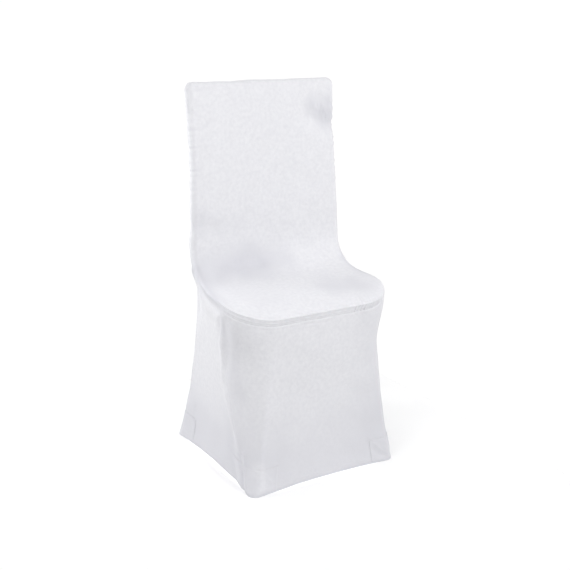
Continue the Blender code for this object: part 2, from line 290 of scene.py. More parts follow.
@dataclass
class Grid:
    """A stretch of cloth as a grid of points, with what is known about each point."""

    points: Array
    panel: Panel
    facing: Point
    seam: Array
    cloth: Array
    hem: Array | None = None
    pockets: Array | None = None

    def mirrored(self) -> "Grid":
        """Swaps left and right.

        Returns:
            The same stretch on the other side of the cover.
        """
        swap = np.array([0] + [FEET.index(OTHER_SIDE.get(foot, foot)) + 1 for foot in FEET])
        return Grid(
            self.points * MIRROR,
            OTHER_SIDE.get(self.panel, self.panel),
            tuple(np.array(self.facing) * MIRROR),
            self.seam,
            self.cloth * (-1, 1),
            self.hem,
            None if self.pockets is None else swap[self.pockets],
        )

    def quads(self) -> Array:
        """Goes round the corners of each cell in the order that turns its face the way the grid is facing.

        Returns:
            Four point numbers for each cell.
        """
        rows, columns = self.points.shape[:2]
        number = np.arange(rows * columns).reshape(rows, columns)
        corners = np.stack((number[:-1, :-1], number[1:, :-1], number[1:, 1:], number[:-1, 1:]), axis=2)
        p = self.points
        cross = np.cross(p[1:, 1:] - p[:-1, :-1], p[:-1, 1:] - p[1:, :-1])
        flip = cross.reshape(-1, 3).sum(axis=0) @ np.array(self.facing) < 0
        return corners.reshape(-1, 4)[:, ::-1] if flip else corners.reshape(-1, 4)


class Profile:
    """The middle line of the inside back and seat, read by the distance from the top edge."""

    def __init__(self, rows: tuple[Point, ...]) -> None:
        """Passes a natural cubic spline through the rows, spaced by their distance in y and z.

        Args:
            rows: the cover's middle line as y, z and half width.
        """
        table = np.array(rows)
        knots = np.concatenate(([0.0], np.cumsum(np.linalg.norm(np.diff(table[:, :2], axis=0), axis=1))))
        gaps = np.diff(knots)
        slopes = np.diff(table, axis=0) / gaps[:, None]
        matrix = np.eye(len(knots))
        inner = np.arange(1, len(knots) - 1)
        matrix[inner, inner - 1], matrix[inner, inner], matrix[inner, inner + 1] = (
            gaps[:-1], 2 * (gaps[:-1] + gaps[1:]), gaps[1:])
        bends = np.zeros_like(table)
        bends[1:-1] = 6 * np.diff(slopes, axis=0)
        bends = np.linalg.solve(matrix, bends)
        s = np.linspace(0, knots[-1], PROFILE_SAMPLES)
        i = np.clip(np.searchsorted(knots, s, side="right") - 1, 0, len(gaps) - 1)
        a = ((knots[i + 1] - s) / gaps[i])[:, None]
        b = 1 - a
        gap = gaps[i][:, None]
        self.values = a * table[i] + b * table[i + 1]
        self.values += ((a**3 - a) * bends[i] + (b**3 - b) * bends[i + 1]) * gap**2 / 6
        self.s = np.concatenate(([0.0], np.cumsum(np.linalg.norm(np.diff(self.values[:, :2], axis=0), axis=1))))
        self.length = float(self.s[-1])
        slope = np.gradient(self.values[:, :2], self.s, axis=0)
        self.slope = slope / np.linalg.norm(slope, axis=1)[:, None]

    def read(self, s: Array) -> list[Array]:
        """Gives y, z, half width and the slope in y and z at the distances s."""
        return [np.interp(s, self.s, column) for column in (*self.values.T, *self.slope.T)]


@dataclass
class EdgeRun:
    """A run of the left edge of the inside back and seat, where the cloth starts to roll over."""

    s: Array
    points: Array
    out: Array
    normal: Array
    radius: Array


@dataclass(frozen=True)
class CoverShape:
    """Sizes of the stretched cover, in metres, the same as those of its solids."""

    profile: tuple[Point, ...] = (
        # y, z, half width
        (0.1040, 0.9670, 0.2160),
        (0.0925, 0.8500, 0.2145),
        (0.0825, 0.7200, 0.2175),
        (0.0755, 0.6000, 0.2240),
        (0.0635, 0.5285, 0.2280),
        (0.0280, 0.4920, 0.2300),
        (-0.0455, 0.4780, 0.2335),
        (-0.1245, 0.4685, 0.2350),
        (-0.1840, 0.4500, 0.2255),
    )
    waist: float = 0.4400
    back_roll: float = 0.014
    seat_roll: float = 0.018
    roll_blend: tuple[float, float] = (0.43, 0.63)
    top_corner: float = 0.020
    seat_corner: tuple[float, float] = (0.102, 0.107)
    foot_x: float = 0.2160
    foot_y: float = 0.2180
    foot_round: float = 0.0195
    pocket_width: float = 0.070
    pocket_share: float = 0.155
    front_corner_across: tuple[float, float] = (0.0095, 0.30)
    front_corner_along: tuple[float, float] = (0.0445, 0.27)
    front_middle_along: float = 0.0085
    rear_corner_across: tuple[float, float] = (0.0205, 0.14)
    rear_corner_along: tuple[float, float] = (-0.0210, 0.47)
    flare: float = 0.86
    hem_side: tuple[float, float] = (0.0080, 0.0055)
    hem_front: tuple[float, float] = (0.0025, 0.0055)
    hem_rear: tuple[float, float] = (-0.0025, 0.0055)
    hem_fall: int = 3
    seat_squareness: float = 4.0    # 2 rolls the seat's rim along a circle, more makes it squarer


@dataclass
class CoverSkin:
    """Works out the whole cover as one skin of grids, from the sizes of its shape."""

    shape: CoverShape
    back_rows: int = 92
    top_corner_steps: int = 6
    side_rows: int = 70
    seat_corner_steps: int = 46
    across_columns: int = 150
    roll_steps: int = 16
    drop_lines: int = 130
    corner_spacing: float = 0.5      # the step next to a corner seam, as a share of the mean one
    hem_spacing: float = 0.4         # and next to the seat's seam and the hem
    roll_spacing: float = 1.35       # above 1 sets the lines of a roll closer together towards its seam

    def __post_init__(self) -> None:
        """Works out the lines that the panels share."""
        shape = self.shape
        self.profile = Profile(shape.profile)
        self.pocket_along = shape.pocket_width / (2 * shape.foot_y - 2 * shape.foot_round)
        self.pocket_across = (shape.pocket_width - shape.foot_round) / (2 * shape.foot_x - 2 * shape.foot_round)
        self.pocket_top = 1 - shape.pocket_share
        self.along = eased(self.side_rows, self.corner_spacing, (self.pocket_along, 1 - self.pocket_along))
        self.across = eased(self.across_columns, self.corner_spacing,
                            (self.pocket_across, 1 - self.pocket_across))
        self.drop = eased(self.drop_lines, self.hem_spacing, (self.pocket_top,))
        self.back, self.side, self.corner = self._left_edge()
        feet = [np.array((-shape.foot_x, y, 0.0)) for y in
                (shape.foot_round - shape.foot_y, shape.foot_y - shape.foot_round)]
        self.front_line = self._corner_line(self._rolled(self.corner)[0, -1], feet[0],
                                            shape.front_corner_across, shape.front_corner_along)
        self.rear_line = self._corner_line(self._rolled(self.side)[0, -1], feet[1],
                                           shape.rear_corner_across, shape.rear_corner_along)

    def grids(self) -> list[Grid]:
        """Gives every stretch of the cover."""
        return [*self._seat_and_back(), *self._sides(), self._front(), *self._outside_back()]

    def _edge(self, s: Array, inset: Array, across: Array, along: Array) -> EdgeRun:
        """Reads a run of the left edge off the profile.

        Args:
            s: the distances from the top edge.
            inset: how far the edge is drawn in towards the middle at each.
            across: how far the cloth rolls off sideways at each.
            along: and how far along the middle line.

        Returns:
            The run of edge.
        """
        y, z, half, slope_y, slope_z = self.profile.read(s)
        size = np.hypot(across, along)
        radius = self.shape.back_roll + (self.shape.seat_roll - self.shape.back_roll) * smooth_step(
            s, *self.shape.roll_blend)
        points = np.stack((radius + inset - half, y, z), axis=1)
        out = np.stack((across / size, along / size * slope_y, along / size * slope_z), axis=1)
        return EdgeRun(s, points, out, np.stack((0 * y, slope_z, -slope_y), axis=1), radius)

    def _left_edge(self) -> tuple[EdgeRun, EdgeRun, EdgeRun]:
        """Follows the left edge: straight runs, joined by a quarter of a circle and a quarter of an ellipse.

        Returns:
            Three runs: the top corner with the back, the one along the skirt's seam, and the front corner.
        """
        shape = self.shape
        top = shape.top_corner - shape.back_roll
        turn = np.linspace(RIGHT_ANGLE, 0, self.top_corner_steps + 1)
        straight = np.linspace(top, shape.waist, self.back_rows)[1:]
        s = np.concatenate((top * (1 - np.sin(turn)), straight))
        across = np.concatenate((-np.cos(turn), straight * 0 - 1))
        along = np.concatenate((-np.sin(turn), straight * 0))
        inset = np.concatenate((top * (1 - np.cos(turn)), straight * 0))
        back = self._edge(s, inset, across, along)

        wide, deep = (size - shape.seat_roll for size in shape.seat_corner)
        s_corner = self.profile.length - deep
        fine = np.linspace(shape.waist, s_corner, SEAM_SAMPLES)
        seam = self._rolled(self._edge(fine, fine * 0, fine * 0 - 1, fine * 0))[:, -1]
        run = np.concatenate(([0.0], np.cumsum(np.linalg.norm(np.diff(seam, axis=0), axis=1))))
        s = np.interp(self.along * run[-1], run, fine)
        side = self._edge(s, s * 0, s * 0 - 1, s * 0)

        turn = np.linspace(0, RIGHT_ANGLE, self.seat_corner_steps + 1)
        corner = self._edge(s_corner + deep * np.sin(turn), wide * (1 - np.cos(turn)),
                            -np.cos(turn) / wide, np.sin(turn) / deep)
        return back, side, corner

    def _rolled(self, edge: EdgeRun) -> Array:
        """Turns a run of edge from its normal to the way out.

        Each line of the grid is a quarter of a superellipse with the run's radius: x^n + y^n = 1, where n is 2,
        a circle, on the back and goes up to the seat's squareness round the seat.

        Args:
            edge: where the roll starts.

        Returns:
            The roll as a grid, one row for each point of the edge.
        """
        turn = RIGHT_ANGLE * (1 - (1 - np.linspace(0, 1, self.roll_steps + 1)) ** self.roll_spacing)[None, :]
        power = 2 + (self.shape.seat_squareness - 2) * smooth_step(edge.s, *self.shape.roll_blend)[:, None]
        sine, cosine = np.sin(turn), np.cos(turn)
        size = (np.abs(sine) ** power + np.abs(cosine) ** power) ** (-1 / power)
        out = (size * sine * edge.radius[:, None])[:, :, None] * edge.out[:, None]
        down = ((1 - size * cosine) * edge.radius[:, None])[:, :, None] * edge.normal[:, None]
        return edge.points[:, None] + out - down

    def _drawn_in(self, share: Array, deepest: float) -> Array:
        """Works out how the cloth draws in: a squared sine to the deepest share, then a power of the cosine.

        Args:
            share: shares of the drop, from 0 at the seat's seam to 1 at the hem.
            deepest: the share where it is drawn in most.

        Returns:
            How far at each share, from 0 to 1.
        """
        above = np.sin(np.clip(share / deepest, 0, 1) * RIGHT_ANGLE) ** 2
        below = np.cos(np.clip((share - deepest) / (1 - deepest), 0, 1) * RIGHT_ANGLE) ** self.shape.flare
        return np.where(share < deepest, above, below)

    def _corner_line(self, top: Array, foot: Array, across: tuple[float, float],
                     along: tuple[float, float]) -> Array:
        """Runs a corner seam straight from the seat to a foot, plus how far the cloth draws in on the way.

        Args:
            top: its end at the seat.
            foot: its end on the floor.
            across: how far it draws in sideways at most, and at which share of the drop.
            along: the same from front to rear.

        Returns:
            The seam's points.
        """
        pull = np.outer(self._drawn_in(self.drop, across[1]), (across[0], 0, 0))
        pull += np.outer(self._drawn_in(self.drop, along[1]), (0, along[0], 0))
        return top + np.outer(self.drop, foot - top) + pull

    def _fan(self, line: Array) -> Array:
        """Spreads each point of a left edge straight across to its mirror image."""
        share = self.across * 2 - 1
        return line[:, None] * np.stack((-share, 0 * share + 1, 0 * share + 1), axis=1)[None]

    def _seat_and_back(self) -> list[Grid]:
        """Carries the profile across the cover, and rolls its edges down.

        Returns:
            The middle, the rolled edges on both sides, and those at the top and the front.
        """
        edges = (self.back, self.side, self.corner)
        panel = Panel.SEAT_AND_BACK
        left = np.concatenate([self.back.points, self.side.points[1:], self.corner.points[1:]])
        s = np.concatenate([self.back.s, self.side.s[1:], self.corner.s[1:]])
        middle = self._fan(left)
        roll = RIGHT_ANGLE * self.shape.seat_roll
        to_side = np.minimum(arc(middle, 1), arc(middle, 1, True))
        to_end = np.minimum(s, self.profile.length - s)[:, None]
        cloth = np.stack((middle[:, :, 0], np.broadcast_to(-s[:, None], middle.shape[:2])), axis=2)
        found = [Grid(middle, panel, (0, -1, 1), roll + np.minimum(to_side, to_end), cloth)]
        for edge in edges:
            points = self._rolled(edge)
            run = arc(points, 1)
            across = edge.points[:, None, 0] + run * edge.out[:, None, 0]
            down = -edge.s[:, None] + run * np.hypot(edge.out[:, None, 1], edge.out[:, None, 2]) * np.sign(
                edge.out[:, None, 2])
            grid = Grid(points, panel, (-1, -0.5, 0.5), arc(points, 1, True), np.stack((across, down), axis=2))
            found += [grid, grid.mirrored()]
        for edge, row, facing in ((self.back, 0, (0, -1, 1)), (self.corner, -1, (0, -1, 1))):
            line = middle[row]
            count = len(line)
            end = EdgeRun(np.full(count, edge.s[row]), line, np.tile(edge.out[row], (count, 1)),
                          np.tile(edge.normal[row], (count, 1)), np.full(count, edge.radius[row]))
            points = self._rolled(end)
            run = arc(points, 1)
            down = -edge.s[row] + run * np.sign(edge.out[row][2])
            cloth = np.stack((np.broadcast_to(line[:, None, 0], run.shape), down), axis=2)
            found.append(Grid(points, panel, facing, arc(points, 1, True), cloth))
        return found

    def _pocket_cells(self, along: Array, low_first: int, low_last: int) -> Array:
        """Marks the cells of a side that lie under a foot pocket.

        Args:
            along: the shares of the side's length at its grid lines.
            low_first: the number of the pocket at the side's first end.
            low_last: and at its last end.

        Returns:
            A pocket's number or 0 for each cell.
        """
        low = self.drop[:-1] >= self.pocket_top - ROUNDING
        first = np.outer(along[1:] <= self.pocket_along + ROUNDING, low)
        last = np.outer(along[:-1] >= 1 - self.pocket_along - ROUNDING, low)
        return first * low_first + last * low_last

    def _sides(self) -> list[Grid]:
        """Spans both sides of the skirt.

        Each point lies straight between the seat's seam and the hem, moved by a share of how far the two corner
        seams bend, in proportion to how near each of them is.

        Returns:
            The left side and the right side.
        """
        top = self._rolled(self.side)[:, -1]
        along, drop = self.along, self.drop
        draw_in, draw_up = self.shape.hem_side
        sag = np.outer(4 * along * (1 - along), (draw_in, 0, draw_up))
        hem = self.rear_line[-1] + np.outer(along, self.front_line[-1] - self.rear_line[-1]) + sag
        points = top[:, None] + (hem - top)[:, None] * drop[None, :, None]
        bends = [line - line[0] - np.outer(drop, line[-1] - line[0])
                 for line in (self.rear_line, self.front_line)]
        points += (1 - along)[:, None, None] * bends[0] + along[:, None, None] * bends[1]
        down = arc(points, 1)
        seam = np.minimum(down, np.minimum(arc(points, 0), arc(points, 0, True)))
        cloth = np.stack((arc(points, 0), -down), axis=2)
        pockets = self._pocket_cells(along, FEET.index(Foot.REAR_LEFT) + 1, FEET.index(Foot.FRONT_LEFT) + 1)
        grid = Grid(points, Panel.SKIRT_LEFT, (-1, 0, 0), seam, cloth, arc(points, 1, True), pockets)
        return [grid, grid.mirrored()]

    def _front(self) -> Grid:
        """Spans the front of the skirt, which wraps both front corners.

        Each point lies straight between the seat's seam and the hem, drawn in sideways and backwards. At the
        corners it draws in as far as the corner seams do, and in the middle by its own smaller share.

        Returns:
            The front.
        """
        shape = self.shape
        seam_line = self._rolled(self.corner)[:, -1]
        middle = self._fan(seam_line[-1:])[0][1:-1]
        top = np.concatenate((seam_line, middle, seam_line[::-1] * MIRROR))
        turn = np.linspace(0, RIGHT_ANGLE, len(seam_line))
        inner_x, inner_y = shape.foot_x - shape.foot_round, shape.foot_y - shape.foot_round
        foot = np.stack((-inner_x - shape.foot_round * np.cos(turn), -inner_y - shape.foot_round * np.sin(turn),
                         0 * turn), axis=1)
        share = self.across[1:-1]
        draw_in, draw_up = shape.hem_front
        sag = np.outer(4 * share * (1 - share), (0, draw_in, draw_up))
        straight = foot[-1] + np.outer(share, foot[-1] * MIRROR - foot[-1]) + sag
        hem = np.concatenate((foot, straight, foot[::-1] * MIRROR))
        facing = np.concatenate((turn, np.full(len(share), RIGHT_ANGLE), math.pi - turn[::-1]))
        across, along = shape.front_corner_across, shape.front_corner_along
        pull_x = np.outer(np.cos(facing) * across[0], self._drawn_in(self.drop, across[1]))
        deep = along[0] + (shape.front_middle_along - along[0]) * np.sin(facing) ** 2
        pull_y = np.outer(deep, self._drawn_in(self.drop, along[1]))
        points = top[:, None] + (hem - top)[:, None] * self.drop[None, :, None]
        points += np.stack((pull_x, pull_y, 0 * pull_x), axis=2)
        down = arc(points, 1)
        seam = np.minimum(down, np.minimum(arc(points, 0), arc(points, 0, True)))
        run = arc(points, 0)
        cloth = np.stack((run - run[-1] / 2, -down), axis=2)
        low = self.drop[:-1] >= self.pocket_top - ROUNDING
        cells = len(turn) - 1
        near = np.zeros(len(top) - 1, bool)
        near[:cells] = True
        near[cells:cells + len(share) + 1] = self.across[1:] <= self.pocket_across + ROUNDING
        pockets = np.outer(near, low) * (FEET.index(Foot.FRONT_LEFT) + 1)
        pockets = pockets + np.outer(near[::-1], low) * (FEET.index(Foot.FRONT_RIGHT) + 1)
        return Grid(points, Panel.SKIRT_FRONT, (0, -1, 0), seam, cloth, arc(points, 1, True), pockets)

    def _outside_back(self) -> list[Grid]:
        """Spans the outside back: quarter circles off the side seams and the top, and straight lines between.

        Returns:
            Its rolled edges on both sides, its middle down to the hem, and its rolled top edge.
        """
        shape = self.shape
        panel = Panel.OUTSIDE_BACK
        seam = np.concatenate((self._rolled(self.back)[:, -1], self.rear_line[1:]))
        drop = self.drop[1:]
        rows = len(self.back.points)
        out = np.concatenate((self.back.out, np.tile((-1.0, 0.0, 0.0), (len(drop), 1))))
        radius = np.concatenate((np.full(rows, shape.back_roll),
                                 shape.back_roll + (shape.foot_round - shape.back_roll) * drop))
        leaning = -self.back.normal[0]
        behind = np.tile(leaning, (len(seam), 1))
        behind[rows:] += np.outer(drop, (0, 1, 0) - leaning)
        s = arc(seam[None], 1)[0]
        to_hem = np.where(np.arange(len(seam)) < rows, FAR, s[-1] - s)
        edge = self._rolled(EdgeRun(0 * s, seam, behind, out, radius))
        low = np.zeros(len(seam) - 1, bool)
        low[rows - 1:] = self.drop[:-1] >= self.pocket_top - ROUNDING
        rear_left, rear_right = (FEET.index(foot) + 1 for foot in (Foot.REAR_LEFT, Foot.REAR_RIGHT))
        run = arc(edge, 1)
        cloth = np.stack((seam[:, None, 0] + run, np.broadcast_to(-s[:, None], run.shape)), axis=2)
        hem = np.broadcast_to(to_hem[:, None], run.shape)
        pockets = np.outer(low, np.ones(self.roll_steps, int)) * rear_left
        rolled = Grid(edge, panel, (-1, 1, 0), run, cloth, hem, pockets)

        middle = self._fan(edge[:, -1])
        draw_in, draw_up = shape.hem_rear
        fall = np.concatenate((np.zeros(rows), drop ** shape.hem_fall))
        middle += fall[:, None, None] * np.outer(4 * self.across * (1 - self.across), (0, draw_in, draw_up))
        near = self.across[1:] <= self.pocket_across + ROUNDING
        pockets = np.outer(low, near) * rear_left + np.outer(low, near[::-1]) * rear_right
        to_side = np.minimum(arc(middle, 1), arc(middle, 1, True)) + run[:, -1:]
        to_top = arc(middle, 0) + run[0, -1]
        cloth = np.stack((middle[:, :, 0], np.broadcast_to(-s[:, None], middle.shape[:2])), axis=2)
        hem = np.where(to_hem[:, None] < FAR, arc(middle, 0, True), FAR)
        flat = Grid(middle, panel, (0, 1, 0), np.minimum(to_side, to_top), cloth, hem, pockets)

        line = self._fan(self._rolled(self.back)[:1, -1])[0]
        count = len(line)
        strip = self._rolled(EdgeRun(np.zeros(count), line, np.tile(behind[0], (count, 1)),
                                     np.tile(out[0], (count, 1)), np.full(count, shape.back_roll)))
        run = arc(strip, 1)
        cloth = np.stack((np.broadcast_to(line[:, None, 0], run.shape), run), axis=2)
        top = Grid(strip, panel, (0, 1, 1), run, cloth)
        return [rolled, rolled.mirrored(), flat, top]


@dataclass
class Cut:
    """One piece of cloth, cut out of the skin: its two faces and what is known about each point."""

    outer: Array
    inner: Array
    quads: Array
    # painted shade for each point
    painted_shade: Array
    hem: Array
    cloth: Array

    def area(self) -> float:
        """Gives the area of the outer face: half the length of the cross product of each quad's diagonals."""
        p = self.outer[self.quads]
        return float(np.linalg.norm(np.cross(p[:, 2] - p[:, 0], p[:, 3] - p[:, 1]), axis=1).sum() / 2)

    def border(self) -> Array:
        """Finds the edges that only one quad has.

        Returns:
            The two point numbers of each, in the direction of its quad.
        """
        count = len(self.outer)
        ends = np.stack((self.quads, np.roll(self.quads, -1, axis=1)), axis=2).reshape(-1, 2)
        code, reverse = ends[:, 0] * count + ends[:, 1], ends[:, 1] * count + ends[:, 0]
        return ends[~np.isin(code, reverse)]

    def to_object(self, name: str, material: bpy.types.Material) -> bpy.types.Object:
        """Makes a closed sheet: the outer face, the inner face turned round, and a rim between them.

        A rim face stands on each edge of the border.

        Args:
            name: the piece's name.
            material: its finish.

        Returns:
            The object, at the origin.
        """
        count = len(self.outer)
        a, b = self.border().T
        rim = np.stack((b, a, a + count, b + count), axis=1)
        faces = np.concatenate((self.quads, self.quads[:, ::-1] + count, rim))
        mesh = bpy.data.meshes.new(name)
        mesh.from_pydata(np.concatenate((self.outer, self.inner)).tolist(), [], faces.tolist())
        # the slack attribute carries painted shade to the material
        for label, values in (("painted_shade", self.painted_shade), ("from_hem", self.hem)):
            attribute = mesh.attributes.new(label, "FLOAT", "POINT")
            attribute.data.foreach_set("value", np.concatenate((values, values)).astype(np.float32))
        layer = mesh.uv_layers.new(name="cloth")
        corner = np.zeros(len(mesh.loops), np.int32)
        mesh.loops.foreach_get("vertex_index", corner)
        layer.data.foreach_set("uv", np.tile(self.cloth, (2, 1))[corner].astype(np.float32).ravel())
        mesh.shade_smooth()
        mesh.set_sharp_from_angle(angle=RIGHT_ANGLE / 2)
        mesh.materials.append(material)
        made = bpy.data.objects.new(name, mesh)
        bpy.context.scene.collection.objects.link(made)
        return made


class Skin:
    """All grids welded into one skin, which is moved as a whole and then cut."""

    weld_places = 5

    def __init__(self, grids: list[Grid]) -> None:
        """Welds the grids where their points agree to a hundredth of a millimetre.

        Args:
            grids: the stretches of the cover.
        """
        points = np.concatenate([grid.points.reshape(-1, 3) for grid in grids])
        keys = np.round(points, self.weld_places) + 0.0
        _, first, number = np.unique(keys, axis=0, return_index=True, return_inverse=True)
        number = number.ravel()
        self.points = points[first]
        self.seam = self._nearest(number, [grid.seam for grid in grids])
        self.hem = self._nearest(number, [np.full(grid.points.shape[:2], FAR) if grid.hem is None else grid.hem
                                          for grid in grids])
        self.cloth = np.concatenate([grid.cloth.reshape(-1, 2) for grid in grids])
        self.number = number
        starts = np.cumsum([0] + [grid.points.shape[0] * grid.points.shape[1] for grid in grids])
        self.raw = np.concatenate([grid.quads() + start for grid, start in zip(grids, starts)])
        self.quads = number[self.raw]
        cells = [(grid.points.shape[0] - 1) * (grid.points.shape[1] - 1) for grid in grids]
        self.panel = np.repeat([PANELS.index(grid.panel) for grid in grids], cells)
        self.pocket = np.concatenate([np.zeros(count, int) if grid.pockets is None else grid.pockets.ravel()
                                      for grid, count in zip(grids, cells)])
        self.floor = self.hem < ON_HEM
        # painted shade for each point, filled in by the cloth
        self.painted_shade = np.zeros(len(self.points))
        self.on_seat = np.isin(np.arange(len(self.points)),
                               self.quads[self.panel == PANELS.index(Panel.SEAT_AND_BACK)])

    @staticmethod
    def _nearest(number: Array, values: list[Array]) -> Array:
        """Keeps the smallest value of the points that are welded into one.

        Args:
            number: the welded point that each point of the grids goes to.
            values: one array for each grid.

        Returns:
            One value for each welded point.
        """
        least = np.full(number.max() + 1, FAR)
        np.minimum.at(least, number, np.concatenate([value.ravel() for value in values]))
        return least

    def normals(self) -> Array:
        """Adds up the cross products of the diagonals of the quads round each point.

        Returns:
            The sums, one unit long, which point outwards.
        """
        p = self.points[self.quads]
        cross = np.cross(p[:, 2] - p[:, 0], p[:, 3] - p[:, 1])
        total = np.stack([np.bincount(self.quads.ravel(), np.repeat(cross[:, axis], 4), len(self.points))
                          for axis in range(3)], axis=1)
        return total / np.linalg.norm(total, axis=1)[:, None]

    def move(self, height: Array) -> None:
        """Moves each point along its normal. A point of the hem keeps its height above the floor.

        Args:
            height: how far, for each point.
        """
        step = self.normals() * height[:, None]
        step[self.floor, 2] = 0
        self.points = self.points + step

    def cut(self, chosen: Array, thickness: float, lift: float = 0.0) -> Cut:
        """Cuts quads out as a sheet.

        The inner face lies a thickness under the outer one along the skin's normals. On the hem the two lie
        level with each other, so that the cover stands flat.

        Args:
            chosen: which quads.
            thickness: of the sheet.
            lift: how far the sheet's outer face stands off the skin.

        Returns:
            The piece of cloth.
        """
        used, raw_first, quads = np.unique(self.quads[chosen], return_index=True, return_inverse=True)
        quads = quads.reshape(-1, 4)
        corner = self.raw[chosen].ravel()[raw_first]
        depth = self.normals()
        level = depth[self.floor] * (1, 1, 0)
        depth[self.floor] = level / (level ** 2).sum(axis=1)[:, None]
        depth = depth[used]
        outer = self.points[used] + depth * lift
        inner = outer - depth * thickness
        return Cut(outer, inner, quads, self.painted_shade[used], self.hem[used], self.cloth[corner])


def linear(colour: str) -> tuple[float, float, float, float]:
    """Turns an sRGB hex colour into the linear values that a shader takes."""
    values = [int(colour[i:i + 2], 16) / 255 for i in (1, 3, 5)]
    return (*(v / 12.92 if v <= 0.04045 else ((v + 0.055) / 1.055) ** 2.4 for v in values), 1.0)


def add_node(tree: bpy.types.NodeTree, kind: str, settings: dict[str, object] | None = None,
             **inputs: object) -> bpy.types.Node:
    """Adds a node with its settings and links.

    Args:
        tree: the node tree.
        kind: the type of the node.
        settings: the node's own properties.
        inputs: sockets by name with spaces as underscores, or i and their number, each with a value or with the
            output socket of another node.

    Returns:
        The node.
    """
    node = tree.nodes.new(kind)
    for name, value in (settings or {}).items():
        setattr(node, name, value)
    for name, value in inputs.items():
        socket = node.inputs[int(name[1:])] if name[0] == "i" and name[1:].isdigit() else node.inputs[
            name.replace("_", " ")]
        if isinstance(value, bpy.types.NodeSocket):
            tree.links.new(value, socket)
        else:
            socket.default_value = value
    return node


